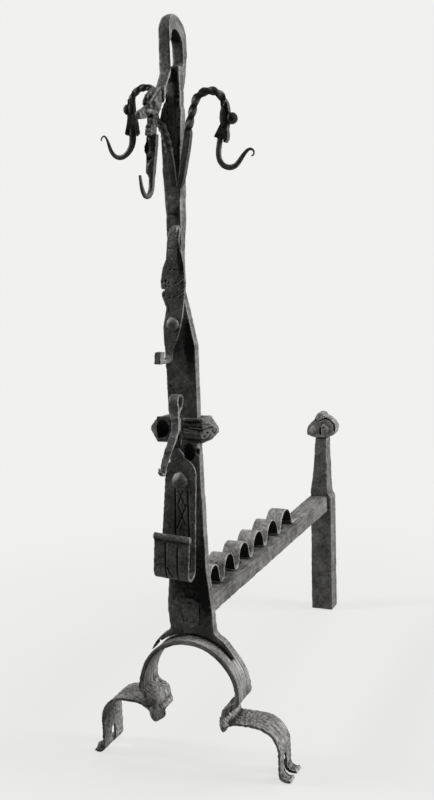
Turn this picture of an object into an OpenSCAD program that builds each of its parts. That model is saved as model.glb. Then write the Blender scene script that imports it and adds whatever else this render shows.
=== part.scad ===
/* [Post] */
// Height of the whole andiron, floor to the top of the eye
overall_h = 898; // [892:1:940]
// Thickness of the post bar, front to back
post_t = 14; // [12:0.5:17]
// Width of the post just above its spread foot
post_foot_w = 61; // [56:1:64]
// Height at which the post is that wide
post_foot_z = 200; // [196:1:206]
// Width of the post above the log bar's tenon
post_shoulder_w = 51; // [47:1:55]
// Height at which the post is that narrow
post_shoulder_z = 245; // [238:1:260]
// Width of the post inside the collar
post_waist_w = 39; // [36:0.5:42]
// Width of the post where its upper taper begins
post_upper_w = 41; // [38:0.5:44]
// Where that taper begins, as a share of the post from the collar to the eye
post_upper_at = 0.2675; // [0.247:0.0005:0.283]
// Width of the slender upper post
post_neck_w = 19; // [17:0.5:21]
// Where the post becomes slender, as a share of the same stretch
post_neck_at = 0.4414; // [0.421:0.0002:0.473]
// How far the lower post's middle lies to the left of the feet
post_bow = 3; // [0:0.5:5]
// How far the slender part's foot lies to the left
neck_bow = 6; // [3:0.5:8]
// How far the top of the post lies to the left
top_bow = 1.5; // [0:0.5:4]
// Thickness of the wings that spread over the arch
wing_t = 9; // [7:0.5:12]
// Angle above the horizontal at which each wing ends
wing_end = 37; // [30:1:48]

/* [Feet] */
// Inner radius of the arch
arch_r = 59.5; // [57:0.5:62]
// Height of the arch's centre above the floor
arch_z = 96.5; // [94:0.5:104]
// Thickness of the arch strap
arch_t = 9; // [7:0.5:10]
// Width of the arch and leg straps, front to back
strap_w = 43; // [38:1:47]
// How far the straps stand in front of the post's front face
strap_front = 17; // [12:1:20]
// Width of the spread knees, front to back
knee_w = 60; // [52:1:66]
// Distance of each knee fold from the middle
knee_x = 42; // [40:1:45]
// Height of the knee folds
knee_z = 62.5; // [60:0.5:65]
// Thickness of the leg straps
leg_t = 6.5; // [5:0.5:8]
// Distance of each leg's outer face from the middle
leg_reach = 118; // [114:1:124]
// How much higher the left leg arches than the right
left_lift = 14; // [4:1:16]
// How much further the left leg reaches than the right
left_out = 4; // [0:0.5:6]
// Width of the left leg's strap, front to back
left_strap_w = 53; // [47:1:56]
// Length of flat under each toe before it turns up
toe_flat = 3; // [2:0.5:5]
// Width of the slit that forks each foot into two toes
toe_slit = 6; // [4:0.5:9]

/* [Log bar and rear leg] */
// Distance from the post's front face to the rear leg's front face
bar_reach = 568; // [520:1:620]
// Width of the log bar
bar_w = 33; // [28:1:38]
// Depth of the log bar, top to bottom
bar_h = 26; // [22:1:30]
// Height of the log bar's top face above the floor
bar_top = 207; // [204:1:212]
// Side of the square tenon that passes through the post
tenon_w = 20; // [14:1:24]
// Width of the tenon's hammered oval head
peen_w = 27; // [25:1:32]
// Height of the tenon's hammered oval head
peen_h = 41; // [36:1:46]
// How far that head stands off the post
peen_t = 3; // [2:0.5:5]
// Width of the rear leg
rear_w = 40; // [38:1:46]
// Depth of the rear leg, front to back
rear_d = 35; // [30:1:40]
// How far the rear leg's middle lies to the right
rear_shift = 2; // [0:0.5:3]
// Height of the rear leg's shoulders
rear_shoulder_z = 218; // [213:1:226]
// Height at which the rear leg's neck meets the bud
rear_neck_z = 311; // [304:1:316]
// Width of the rear leg's neck under the bud
rear_neck_w = 19; // [16:1:24]
// Height of the top of the bud
bud_top = 357; // [350:1:366]
// Width of the bud
bud_w = 56; // [50:1:60]
// Depth of the bud, front to back
bud_d = 46; // [40:1:52]

/* [Wave strip] */
// Number of humps
hump_count = 6; // [3:1:6]
// Height of the humps above the log bar
hump_h = 31; // [28:1:34]
// Distance between the first two crests
hump_pitch = 50; // [48:1:54]
// Each next pitch divided by the one before
pitch_growth = 1.065; // [1.00:0.005:1.075]
// Distance from the post's back face to the first valley
wave_start = 19; // [16:1:24]
// Thickness of the strip
wave_t = 2.5; // [2:0.25:3]
// Width of the strip
wave_w = 26; // [20:1:30]
// Bend radius of the strip in its valleys
valley_r = 8; // [6:0.5:9]
// Length of the flat tail behind the last hump
wave_tail = 24; // [10:1:30]

/* [Collar] */
// Height of the middle of the collar
collar_z = 420.5; // [417:0.5:424]
// Height of the collar where it wraps the post
collar_h = 31; // [27:1:34]
// Width of the collar's flat front band
band_w = 59; // [54:1:64]
// How far the collar stands in front of the post
band_proud = 9; // [6:0.5:10]
// Width of the collar from point to point
collar_span = 89; // [84:1:96]
// Depth of the grooves in the band
groove_d = 1.5; // [1:0.25:2.5]

/* [Lower hook] */
// Height of the lower hook's rivet
lower_rivet_z = 359; // [356:1:362]
// How far the lower hook's rivet lies to the left of the feet
rivet_shift = 6; // [4:0.5:7]
// The same for the upper hook's rivet
upper_rivet_shift = 8; // [6:0.5:9]
// Width of the strap above its bend
trough_w = 47; // [43:1:51]
// Width of the strap at its round top
strap_top_w = 41; // [36:1:44]
// Thickness of the strap
trough_t = 4.5; // [3.5:0.25:5]
// Height of the underside of the trough
trough_z = 238; // [234:1:246]
// Distance from the strap's back face to the front of the trough
trough_d = 25; // [23:1:32]
// Height of the middle of the rolled lip
lip_z = 293; // [285:1:300]
// Diameter of the rolled lip
lip_d = 9; // [7.5:0.5:12]
// How far the hook stands off plumb, in degrees
lower_tilt = 4; // [0:0.5:6]
// Height of the top of the hook's folded handle
handle_top = 467; // [463:1:474]

/* [Upper hook] */
// Where the upper hook's rivet is, as a share of the post from the collar to the eye
upper_rivet_at = 0.3333; // [0.32:0.0001:0.346]
// Width of the leaf at its widest
leaf_w = 34; // [28:1:38]
// Thickness of the leaf
leaf_t = 5; // [4:0.25:6]
// Where the leaf is widest, as a share of the same stretch
leaf_at = 0.4598; // [0.437:0.0001:0.478]
// Where the folded tongue ends at the top, as a share of the same stretch
tongue_at = 0.6337; // [0.616:0.0001:0.646]
// Width of the tongue and of the shank below the leaf
tongue_w = 10; // [8:0.5:12]
// Where the underside of the small hook is, as a share of the same stretch
small_hook_at = 0.2121; // [0.2:0.0001:0.22]
// Reach of the small hook in front of the post
small_hook_d = 37; // [32:1:46]
// How far the hook stands off plumb, in degrees
upper_tilt = 5; // [0:0.5:6]

/* [Rivets] */
// Diameter of both rivet shanks
rivet_d = 9; // [8:0.5:11]
// Diameter of the lower rivet's round head
lower_head_d = 22; // [18:0.5:24]
// Diameter of the upper rivet's round head
upper_head_d = 17; // [15:0.5:20]
// Radial clearance of a hook on its rivet
rivet_play = 0.08; // [0.02:0.01:0.1]

/* [Arms] */
// Thickness of the twisted square arm bars
arm_t = 6.5; // [5.5:0.5:7]
// Where the feet of the two laps are, as a share of the post from the collar to the eye
lap_at = 0.747; // [0.72:0.001:0.76]
// How far below the eye's base the side arms leave the post
arm_root_drop = 29; // [22:1:36]
// Radius of the right arm's arch, along its middle
right_arch_r = 19; // [17:0.5:20]
// Radius of the left arm's arch, along its middle
left_arch_r = 18; // [16:0.5:19]
// Distance of the right arch's centre from the middle of the feet
right_arch_x = 46; // [44:0.5:48]
// Distance of the left arch's centre from the middle of the feet
left_arch_x = 33.5; // [32:0.5:36]
// Rise of the right arch's centre above where the arms leave the post
right_arch_rise = 17; // [14:1:20]
// Rise of the left arch's centre above the same place
left_arch_rise = 29; // [26:1:32]
// Reach of the right hook's tip from the middle of the foot
right_reach = 99; // [97:0.5:104]
// Reach of the left hook's tip from the middle of the foot
left_reach = 93.5; // [92:0.5:98]
// Drop from the right arch's centre to the underside of its hook
right_hook_drop = 69.5; // [66:0.5:80]
// Drop from the left arch's centre to the underside of its hook
left_hook_drop = 61.5; // [56:0.5:70]
// Distance of the right hook's shank from the middle of the feet
right_shank_x = 56; // [54:0.5:58]
// Distance of the left hook's shank from the middle of the feet
left_shank_x = 52.5; // [51:0.5:55]
// Radius of the right hook's bowl, along its middle
right_bowl_r = 13.5; // [12:0.5:15]
// Radius of the left hook's bowl, along its middle
left_bowl_r = 14.5; // [13:0.5:16]
// Diameter of a hook's shank below the head
shank_d = 8; // [7:0.5:9]
// Diameter of a hook at its tip
tip_d = 3; // [2.5:0.25:4]
// Thickness of the serpent heads
head_t = 11; // [10:0.5:14]

/* [Front arm and eye] */
// Width of the eye's bar, side to side
eye_w = 12; // [10:0.5:14]
// Depth of the eye, front to back
eye_d = 50; // [47:1:54]
// How far the eye stands behind the post's middle
eye_back = 2; // [0:0.5:4]
// Depth of the eye's slot, front to back
slot_d = 33; // [29:1:34]
// How far the slot's middle lies in front of the eye's
slot_ahead = 5.5; // [3:0.5:6]
// Height of the eye's slot
slot_h = 42; // [38:1:45]
// Thickness of iron above the slot
crown_t = 20; // [15:1:22]
// Height of the eye, from its foot on the post to its top
eye_h = 98; // [95:1:101]
// Reach of the front hook's tip ahead of the post's front face
front_reach = 94; // [90:1:104]
// Drop from the eye's foot to the underside of the front hook
front_hook_drop = 115; // [110:1:120]
// Distance of the front hook's shank from the post's front face
front_shank_y = 56; // [52:1:60]

/* [Fits] */
// Gap at a welded or lapped seam
seam = 0.2; // [0.1:0.05:0.3]
// Gap between a moving hook and what it moves along
slack = 0.4; // [0.3:0.05:0.6]

/* [Hidden] */
$fn = 48;
iron = "#3a3836";
worn_iron = "#54514d";
dark_iron = "#2c2b2a";
far = 400;

// Heights that follow the height of the whole andiron
eye_base_z = overall_h - eye_h;
slot_z = overall_h - crown_t - slot_h;
function up_post(share) = collar_z + share * (eye_base_z - collar_z);
post_upper_z = up_post(post_upper_at);
post_neck_z = up_post(post_neck_at);
upper_rivet_z = up_post(upper_rivet_at);
leaf_z = up_post(leaf_at);
tongue_top = up_post(tongue_at);
small_hook_z = up_post(small_hook_at);
lap_z = up_post(lap_at);
arm_root_z = eye_base_z - arm_root_drop;
right_arch_z = arm_root_z + right_arch_rise;
left_arch_z = arm_root_z + left_arch_rise;
right_hook_z = right_arch_z - right_hook_drop;
left_hook_z = left_arch_z - left_hook_drop;
front_hook_z = eye_base_z - front_hook_drop;

// The middle of the bounding box goes to the origin
bud_y = bar_reach + rear_d / 2 + 1;
box_x = -left_out / 2;
box_y = (bud_y + bud_d / 2 - front_reach) / 2;
rivet_x = -rivet_shift;
upper_rivet_x = -upper_rivet_shift;
top_x = -top_bow;
arch_mid = arch_r + arch_t / 2;
arch_out = arch_r + arch_t;
strap_y = strap_w / 2 - strap_front;
bar_z = bar_top - bar_h / 2;
rear_bud_x = rear_shift + 1;
right_bowl_z = right_hook_z + right_bowl_r + shank_d * 0.4;
left_bowl_z = left_hook_z + left_bowl_r + shank_d * 0.4;
right_shank_top = right_bowl_z + 21;
left_shank_top = left_bowl_z + 16;
shank_lean = 3;
bend_step = 9;

module placed() {
    translate([-box_x, -box_y, 0]) children();
}

// Short steps of [length, turn] that follow a list of [length] runs and [radius, angle] bends
function steps_of(path) = [for (s = path) each len(s) == 1 ? [[s[0], 0]]
    : let (n = ceil(abs(s[1]) / bend_step), turn = s[1] / n)
        [for (k = [1 : n]) [2 * s[0] * sin(abs(turn) / 2), turn]]];

// The points [x, z, heading] that those steps lead to, upwards first and turning towards +X
function traced(steps, i = 0, p = [0, 0], a = 0) = concat([[p[0], p[1], a]], i == len(steps) ? []
    : let (mid = a + steps[i][1] / 2)
        traced(steps, i + 1, p + steps[i][0] * [sin(mid), cos(mid)], a + steps[i][1]));

// One edge of a strap that follows those points, a distance d to their right
function edge(line, d) = [for (q = line) [q[0] + d * cos(q[2]), q[1] - d * sin(q[2])]];

function strap_outline(path, t) = let (line = traced(steps_of(path)), left = edge(line, -t / 2))
    concat(edge(line, t / 2), [for (i = [len(left) - 1 : -1 : 0]) left[i]]);

// A strap of thickness t and width w bent along a path
module bent(path, t, w) {
    rotate([90, 0, 0]) linear_extrude(w, center = true) polygon(strap_outline(path, t));
}

// An upright outline in the XZ plane, given thickness from y to y + t
module upright(y, t) {
    translate([0, y + t, 0]) rotate([90, 0, 0]) linear_extrude(t) children();
}

// An outline drawn as [y, z] points, given a width about x
module profile(x, w) {
    translate([x - w / 2, 0, 0]) rotate([90, 0, 90]) linear_extrude(w) children();
}

// A tapering round bar through a list of points
module drawn_out(points, d_start, d_end) {
    last = len(points) - 1;
    for (i = [0 : last - 1]) hull() {
        for (k = [i, i + 1]) translate(points[k])
            sphere(d = d_start + (d_end - d_start) * k / last, $fn = 14);
    }
}

// Points of an arc in the XZ plane
function arc(cx, cz, r, a0, a1, steps) = [for (i = [0 : steps])
    let (a = a0 + (a1 - a0) * i / steps) [cx + r * cos(a), 0, cz + r * sin(a)]];

// ---- Post ----

// Height, half width and middle of the post at each place where its taper changes
post_stations = [[post_foot_z, post_foot_w / 2, -post_bow * 0.8],
    [post_shoulder_z, post_shoulder_w / 2, -post_bow], [collar_z, post_waist_w / 2, -post_bow / 2],
    [post_upper_z, post_upper_w / 2, -post_bow], [post_neck_z, post_neck_w / 2, -neck_bow],
    [arm_root_z + 20, post_neck_w / 2, -top_bow], [eye_base_z, eye_w / 2 + 1, -top_bow]];

module post_outline(grow = 0) {
    hip_z = post_foot_z - 25;
    hip = post_foot_w / 2;
    low_z = arch_z + arch_out + wing_t - 2;
    polygon(concat([[-hip - grow, low_z], [-hip - grow, hip_z]],
        [for (s = post_stations) [s[2] - s[1] - grow, s[0]]],
        [for (i = [len(post_stations) - 1 : -1 : 0]) let (s = post_stations[i])
            [s[2] + s[1] + grow, s[0]]], [[hip - 1 + grow, hip_z], [hip - 1 + grow, low_z]]));
}

// The spread foot: wings that follow the arch, faired into the post by a hollow curve
module post_foot_outline() {
    wing_r = arch_out + seam + wing_t;
    hip = post_foot_w / 2 - 2;
    fair_r = 16;
    fair_x = hip + fair_r;
    fair_z = arch_z + sqrt(pow(wing_r + fair_r - 0.5, 2) - pow(fair_x, 2));
    difference() {
        union() {
            intersection() {
                translate([0, arch_z]) circle(wing_r);
                translate([0, arch_z]) polygon([[0, 0], [far * cos(wing_end), far * sin(wing_end)],
                    [0, far], [-far * cos(wing_end), far * sin(wing_end)]]);
            }
            polygon([[-fair_x, fair_z], [fair_x, fair_z], [0, arch_z]]);
        }
        for (side = [-1, 1]) translate([side * fair_x, fair_z]) circle(fair_r);
    }
}

module post() {
    color(iron) placed() difference() {
        upright(0, post_t) difference() {
            union() {
                post_outline();
                post_foot_outline();
            }
            translate([0, arch_z]) circle(arch_out + seam);
            // A weld that never closed leaves a little daylight under the left wing
            translate([0, arch_z]) rotate(131) translate([arch_out + seam + 1.5, 0]) circle(4);
        }
        tenon(seam);
        for (at = [[rivet_x, lower_rivet_z], [upper_rivet_x, upper_rivet_z]])
            translate([at[0], -1, at[1]])
            rotate([-90, 0, 0]) cylinder(d = rivet_d + 2 * seam, h = post_t + 2);
    }
}

// ---- Eye at the top of the post ----

// The post leans back, turns over and comes down in front as a lighter limb; a web joins the two
module top_eye() {
    turn_r = eye_d / 2;
    slot_r = slot_d / 2;
    mid_y = post_t / 2 + eye_back;
    slot_y = mid_y - slot_ahead;
    turn_z = overall_h - turn_r;
    slot_top = overall_h - crown_t - slot_r;
    front = mid_y - turn_r;
    back = mid_y + turn_r;
    color(worn_iron) placed() profile(top_x, eye_w) difference() {
        union() {
            translate([mid_y, turn_z]) circle(turn_r);
            polygon([[front, turn_z], [front, slot_z - 4], [front + 4, slot_z - 10],
                [6, slot_z - 11], [2, slot_z - 23], [0, slot_z - 30], [0, eye_base_z],
                [post_t, eye_base_z], [post_t + 12, slot_z - 10], [back - 3, slot_z + 8],
                [back, slot_z + 22], [back, turn_z]]);
        }
        translate([slot_y, slot_top]) circle(slot_r);
        polygon([[slot_y - slot_r, slot_top], [slot_y - slot_r, slot_z + 5], [slot_y - 10, slot_z],
            [slot_y + 10, slot_z], [slot_y + slot_r, slot_z + 10], [slot_y + slot_r, slot_top]]);
    }
}

// ---- Arch and legs ----

// The knees spread front and back below the arch's middle
module knee_plan(width, spread, start, end) {
    polygon([[-spread / 2, end], [-width / 2 - (spread - width) / 5, (start + end) / 2],
        [-width / 2, start], [-width / 2, far], [width / 2, far], [width / 2, start],
        [width / 2 + (spread - width) / 5, (start + end) / 2], [spread / 2, end]]);
}

// Each side of the arch folds in above the knee, then curls down onto the leg's plate
module arch() {
    flare_z = arch_z + 16;
    fold_r = arch_t + 1;
    fold = 62;
    curl_r = arch_t - 0.5;
    curl = 75;
    stem = 10;
    end_run = arch_z - knee_z - fold_r - stem - 6;
    color(worn_iron) placed() difference() {
        intersection() {
            for (side = [0, 1]) mirror([side, 0, 0]) translate([0, strap_y, arch_z])
                rotate([0, 90, 0]) translate([-arch_mid, 0, 0])
                    bent([[arch_mid, 90], [fold_r, fold], [stem], [curl_r, -curl], [end_run]],
                        arch_t, knee_w);
            profile(0, far) translate([strap_y, 0])
                knee_plan(strap_w, knee_w, flare_z, knee_z - 4);
        }
        leg_shape(1, 0, 0, knee_w, knee_w + 10, seam);
        leg_shape(-1, left_lift, left_out, knee_w, knee_w + 10, seam);
    }
}

// One leg: spread knee plate, arched strap, straight run and turned-out toes
module leg_shape(side, lift, out, width, spread, grow) {
    t = leg_t + 2 * grow;
    rise = atan2(4 + lift, 30);
    knee_run = 21;
    arch_bend = 30;
    toe_r = 8;
    turn_up = 30;
    leg_x = leg_reach + out - leg_t / 2;
    start_x = knee_x - 3;
    plate_x = start_x + knee_run * cos(rise);
    bend_z = knee_z + knee_run * sin(rise) - arch_bend * cos(rise);
    top_run = leg_x - arch_bend - plate_x - arch_bend * sin(rise);
    drop = bend_z - toe_r - leg_t / 2;
    mirror([side < 0 ? 1 : 0, 0, 0]) intersection() {
        translate([start_x, strap_y, knee_z]) rotate([0, 90 - rise, 0])
            bent([[knee_run], [arch_bend, rise], [top_run], [arch_bend, 90], [drop],
                [toe_r, -90], [toe_flat], [toe_r, -turn_up]], t, spread + 2 * grow);
        translate([0, strap_y, 0]) linear_extrude(far) rotate([0, 0, -90])
            knee_plan(width + 2 * grow, spread + 2 * grow, plate_x + 4, start_x);
    }
}

module leg(side, lift, out, width) {
    color(worn_iron) placed() difference() {
        leg_shape(side, lift, out, width, knee_w, 0);
        translate([side > 0 ? leg_reach - 20 : -leg_reach - 40, strap_y - toe_slit / 2, -1])
            cube([60, toe_slit, 28]);
    }
}

module left_leg() {
    leg(-1, left_lift, left_out, left_strap_w);
}

module right_leg() {
    leg(1, 0, 0, strap_w);
}

// ---- Log bar ----

module tenon(grow) {
    translate([0, -1, bar_z]) rotate([-90, 0, 0])
        linear_extrude(post_t + 2) square(tenon_w + 2 * grow, center = true);
}

module log_bar() {
    end_r = peen_w / 2;
    color(iron) placed() {
        translate([-bar_w / 2, post_t, bar_top - bar_h])
            cube([bar_w, bar_reach - post_t - seam, bar_h]);
        tenon(0);
        upright(-peen_t, peen_t) translate([0, bar_z]) {
            for (s = [-1, 1]) translate([0, s * (peen_h / 2 - end_r)]) circle(end_r);
            square([peen_w, peen_h - 2 * end_r], center = true);
        }
    }
}

// ---- Wave strip ----

bend_up = 75;

// Straight stretch and crest radius that give a hump its height over a given pitch
function hump_run(p) = (hump_h - wave_t - (p / 2) * (1 - cos(bend_up)) / sin(bend_up))
    / (sin(bend_up) - cos(bend_up) * (1 - cos(bend_up)) / sin(bend_up));
function crest_r(p) = (p / 2 - hump_run(p) * cos(bend_up)) / sin(bend_up) - valley_r;

module wave_strip() {
    last = hump_count - 1;
    humps = [for (i = [0 : last]) let (p = hump_pitch * pow(pitch_growth, i))
        each [[hump_run(p)], [crest_r(p), -2 * bend_up], [hump_run(p)],
            [valley_r, bend_up * (i < last ? 2 : 1)]]];
    path = concat([[wave_start], [valley_r, bend_up]], humps, [[wave_tail]]);
    color(worn_iron) placed() profile((wave_w - bar_w) / 2, wave_w)
        translate([post_t + seam, bar_top + wave_t / 2])
            polygon([for (q = strap_outline(path, wave_t)) [q[1], q[0]]]);
}

// ---- Rear leg and bud ----

module rear_leg() {
    foot = rear_w / 2;
    neck = rear_neck_w / 2;
    neck_front = rear_d - 30;
    color(iron) placed() intersection() {
        upright(bar_reach, rear_d) polygon([[rear_shift - foot, 0], [rear_shift + foot, 0],
            [rear_shift + foot, rear_shoulder_z - 12],
            [rear_shift + foot - 5, rear_shoulder_z - 3], [rear_bud_x + neck + 2, rear_neck_z - 56],
            [rear_bud_x + neck, rear_neck_z - 24], [rear_bud_x + neck, rear_neck_z],
            [rear_bud_x - neck, rear_neck_z], [rear_bud_x - neck - 2, rear_neck_z - 30],
            [rear_bud_x - neck - 5, rear_neck_z - 56], [rear_shift - foot + 1, rear_shoulder_z]]);
        profile(rear_shift, far) translate([bar_reach, 0]) polygon([[0, 0], [rear_d, 0],
            [rear_d, rear_neck_z - 20], [rear_d - 2, rear_neck_z], [neck_front, rear_neck_z],
            [neck_front - 1, rear_neck_z - 50], [0, rear_shoulder_z + 4]]);
    }
}

module rear_bud() {
    height = bud_top - rear_neck_z - seam;
    wide_z = height * 0.34;
    color(worn_iron) placed() translate([rear_bud_x, bud_y, rear_neck_z + seam]) difference() {
        union() {
            // The broad lower lobes
            hull() {
                translate([-bud_w * 0.25, -bud_d * 0.3, 0]) cube([bud_w * 0.5, bud_d * 0.6, 1]);
                translate([-bud_w / 2, -bud_d * 0.3, wide_z - 5])
                    cube([bud_w, bud_d * 0.6, 10]);
                translate([-bud_w * 0.36, -bud_d / 2, wide_z - 5]) cube([bud_w * 0.72, bud_d, 8]);
                translate([-bud_w * 0.26, -bud_d * 0.3, height * 0.74])
                    cube([bud_w * 0.64, bud_d * 0.6, 1]);
            }
            // The small square crown
            hull() {
                translate([-bud_w * 0.22, -bud_d * 0.25, height * 0.6])
                    cube([bud_w * 0.38, bud_d * 0.5, 1]);
                translate([-bud_w * 0.08, -bud_d * 0.1, height - 1])
                    cube([bud_w * 0.16, bud_d * 0.2, 1]);
            }
        }
        // The cleft between the two lower lobes
        translate([0, -bud_d / 2 - 1, -1]) cube([2, 5, height * 0.6]);
    }
}

// ---- Collar ----

module collar() {
    reach = collar_span / 2;
    half = band_w / 2;
    tip = 3;
    high = collar_h / 2;
    deep = band_proud + post_t / 2;
    color(iron) placed() translate([-post_bow, post_t / 2, collar_z]) difference() {
        intersection() {
            upright(-deep, 2 * deep) polygon([[-reach, -tip], [-half, -high], [half, -high],
                [reach, -tip], [reach, tip], [half, high], [-half, high], [-reach, tip]]);
            translate([0, 0, -high]) linear_extrude(collar_h) polygon([[-reach, -tip],
                [-half, -deep], [half, -deep], [reach, -tip], [reach, tip], [half, deep],
                [-half, deep], [-reach, tip]]);
        }
        translate([post_bow, -post_t / 2 - seam, -collar_z]) upright(0, post_t + 2 * seam)
            post_outline(seam);
        for (z = [-high / 3, high / 3]) translate([-half, -deep - 1, z - 1])
            cube([band_w, groove_d + 1, 2]);
    }
}

// ---- Rivets ----

module rivet(head_d, plate_t) {
    head_h = head_d * 0.32;
    dome_r = (pow(head_d / 2, 2) + pow(head_h, 2)) / (2 * head_h);
    seat = plate_t + 2 * slack;
    back_h = 3;
    rotate([90, 0, 0]) {
        // Shank, dome outside the hook, and the hammered end behind the post
        translate([0, 0, -post_t - seam - back_h])
            cylinder(d = rivet_d, h = post_t + seam + back_h + seat);
        translate([0, 0, -post_t - seam - back_h]) cylinder(d = rivet_d * 1.7, h = back_h);
        intersection() {
            translate([0, 0, seat + head_h - dome_r]) sphere(dome_r);
            translate([0, 0, seat]) cylinder(d = head_d, h = head_h);
        }
    }
}

module lower_rivet() {
    color(worn_iron) placed() translate([rivet_x, 0, lower_rivet_z]) rivet(lower_head_d, trough_t);
}

module upper_rivet() {
    color(worn_iron) placed() translate([upper_rivet_x, 0, upper_rivet_z]) rivet(upper_head_d, leaf_t);
}

module rivet_hole() {
    rotate([90, 0, 0]) translate([0, 0, -1]) cylinder(d = rivet_d + 2 * rivet_play, h = 12);
}

// ---- Lower hook ----

module lower_hook() {
    out_r = trough_d / 2;
    mid_r = out_r - trough_t / 2;
    back_y = -slack - trough_t / 2;
    bottom = trough_z - lower_rivet_z + out_r;
    top_r = strap_top_w / 2;
    half = trough_w / 2;
    top_z = 8;
    wall = lip_z - lower_rivet_z - bottom;
    color(iron) placed() translate([rivet_x, 0, lower_rivet_z]) rotate([0, lower_tilt, 0])
        difference() {
            union() {
                // Strap with a round top
                upright(back_y - trough_t / 2, trough_t) {
                    polygon([[-half, bottom], [half, bottom], [top_r, top_z], [-top_r, top_z]]);
                    translate([0, top_z]) circle(top_r);
                }
                // Bend and front wall of the trough
                translate([0, back_y, bottom]) rotate([180, 0, -90])
                    bent([[mid_r, 180], [wall - lip_d / 2 + 1]], trough_t, trough_w);
                // Rolled lip
                translate([-half - 1, -slack - trough_d + trough_t / 2, wall + bottom])
                    rotate([0, 90, 0]) cylinder(d = lip_d, h = trough_w + 2);
                handle(back_y);
            }
            rivet_hole();
        }
}

// The drawn-out top of the lower hook: forward round the collar, back over it, folded over
// towards the front and left hanging there with its end curled up
module handle(back_y) {
    handle_t = 4.5;
    handle_w = 9;
    out = 50;
    step_back = 45;
    fold_r = 11.5;
    hang = 162;
    start = collar_z - lower_rivet_z - collar_h / 2 - 20;
    neck = collar_h - 7;
    reach = 16;
    drift = 10;
    rise = 20 * sin(out) + reach * cos(out) + neck + 16 * sin(step_back) + drift * cos(step_back);
    top_run = handle_top - lower_rivet_z - fold_r - handle_t / 2 - start - rise;
    translate([0, back_y, start]) rotate([0, 0, -90])
        bent([[10, out], [reach], [10, -out], [neck], [8, -step_back], [drift], [8, step_back],
            [top_run], [fold_r, hang], [80], [4, -170]], handle_t, handle_w);
}

// ---- Upper hook ----

module upper_hook() {
    back_y = -slack - leaf_t / 2;
    fold_r = 4.5;
    half = leaf_w / 2;
    wide = leaf_z - upper_rivet_z;
    fold_z = tongue_top - upper_rivet_z - fold_r - leaf_t / 2;
    toe_r = 8;
    toe_x = -3;
    tongue_x = -5;
    row_gap = 16;
    toe_z = small_hook_z - upper_rivet_z + toe_r + leaf_t / 2;
    left = toe_x - tongue_w / 2;
    right = toe_x + tongue_w / 2;
    color(iron) placed() translate([upper_rivet_x, 0, upper_rivet_z]) rotate([0, upper_tilt, 0])
        difference() {
            union() {
                upright(back_y - leaf_t / 2, leaf_t) polygon([[left, toe_z], [right, toe_z],
                    [right, -31], [8, -14], [12, 8], [half - 4, wide - 24], [half - 3, wide],
                    [half - 6, wide + 20], [7, wide + 34], [tongue_x + tongue_w / 2, wide + 50],
                    [tongue_x + tongue_w / 2, fold_z], [tongue_x - tongue_w / 2, fold_z],
                    [tongue_x - tongue_w / 2, wide + 40], [-12, wide + 30], [-half, wide + 16],
                    [-half - 2, wide], [-half + 1, wide - 18], [-10, wide - 30], [-13, -5],
                    [-11, -24], [left, -37]]);
                // Tongue folded over to the front
                translate([tongue_x, back_y, fold_z]) rotate([0, 0, -90])
                    bent([[fold_r, 170], [24]], leaf_t, tongue_w);
                // Forward turn and block-shaped stop of the small hook
                translate([toe_x, back_y, toe_z]) rotate([180, 0, -90])
                    bent([[toe_r, 90], [small_hook_d - 20]], leaf_t, tongue_w);
                translate([toe_x - 4.5, -small_hook_d, small_hook_z - upper_rivet_z])
                    cube([9, 12, 15]);
            }
            rivet_hole();
            // Rows of punched dots and a nick in the left edge
            for (row = [-row_gap, 0, row_gap]) for (dot = [-10, -3, 4, 11])
                translate([dot - 2, back_y - leaf_t / 2 + 0.6, wide + row]) rotate([90, 0, 0])
                    cylinder(d = 2.4, h = 4);
            translate([-half - 4, -far / 2, wide - 12]) cube([6, far, 2]);
        }
}

// ---- Side arms ----

arm_y = -seam - 3;

// Flat lap on the post, then the bar up, leaning out, and over to an end that points down
module side_arm(side, foot_x, root_x, arch_x, arch_h, r) {
    lap_t = 6;
    lap_w = 8;
    lean = atan2(root_x - foot_x, arm_root_z - lap_z);
    lap_len = (arm_root_z - lap_z) / cos(lean);
    dx = arch_x - root_x;
    dz = arch_h - arm_root_z;
    span = sqrt(dx * dx + dz * dz);
    heading = atan2(dx, dz) - asin(r / span);
    color(dark_iron) placed() mirror([side < 0 ? 1 : 0, 0, 0]) {
        translate([foot_x, arm_y, lap_z]) rotate([0, lean, 0])
            translate([-lap_w / 2, -lap_t / 2, 0]) cube([lap_w, lap_t, lap_len]);
        translate([root_x, arm_y, arm_root_z]) rotate([0, heading, 0])
            bent([[sqrt(span * span - r * r)], [r, 180 - heading]], arm_t, arm_t);
    }
}

// The right lap follows the post's right edge
module right_arm() {
    foot_x = 7;
    root_x = 20.5;
    side_arm(1, foot_x, root_x, right_arch_x, right_arch_z, right_arch_r);
}

// The left lap starts near the post's middle and crosses to its left edge
module left_arm() {
    foot_x = 3;
    root_x = 9.5;
    side_arm(-1, foot_x, root_x, left_arch_x, left_arch_z, left_arch_r);
}

// A serpent's head hanging from the arm: ear outwards, jaws parted round the hook
module serpent_head(tall, ear) {
    upright(-head_t / 2, head_t) polygon([[-4, 0], [4, 0], [5, -tall * 0.3],
        [2, -tall * 0.6], [2, -tall], [-2, -tall], [-6, -tall * 0.85],
        [-11, -tall * 0.85], [-6, -tall * 0.45]]);
    hull() {
        translate([4, -2, -tall * 0.3]) sphere(d = 10, $fn = 20);
        translate([ear, 0, -tall * 0.34]) sphere(d = 7, $fn = 20);
    }
}

// The stretch of a hook that stands in its head's mouth
module shank(x, top_z, low_z, d) {
    hull() {
        translate([x + shank_lean, 0, top_z]) sphere(d = d, $fn = 14);
        translate([x, 0, low_z]) sphere(d = d, $fn = 14);
    }
}

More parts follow.
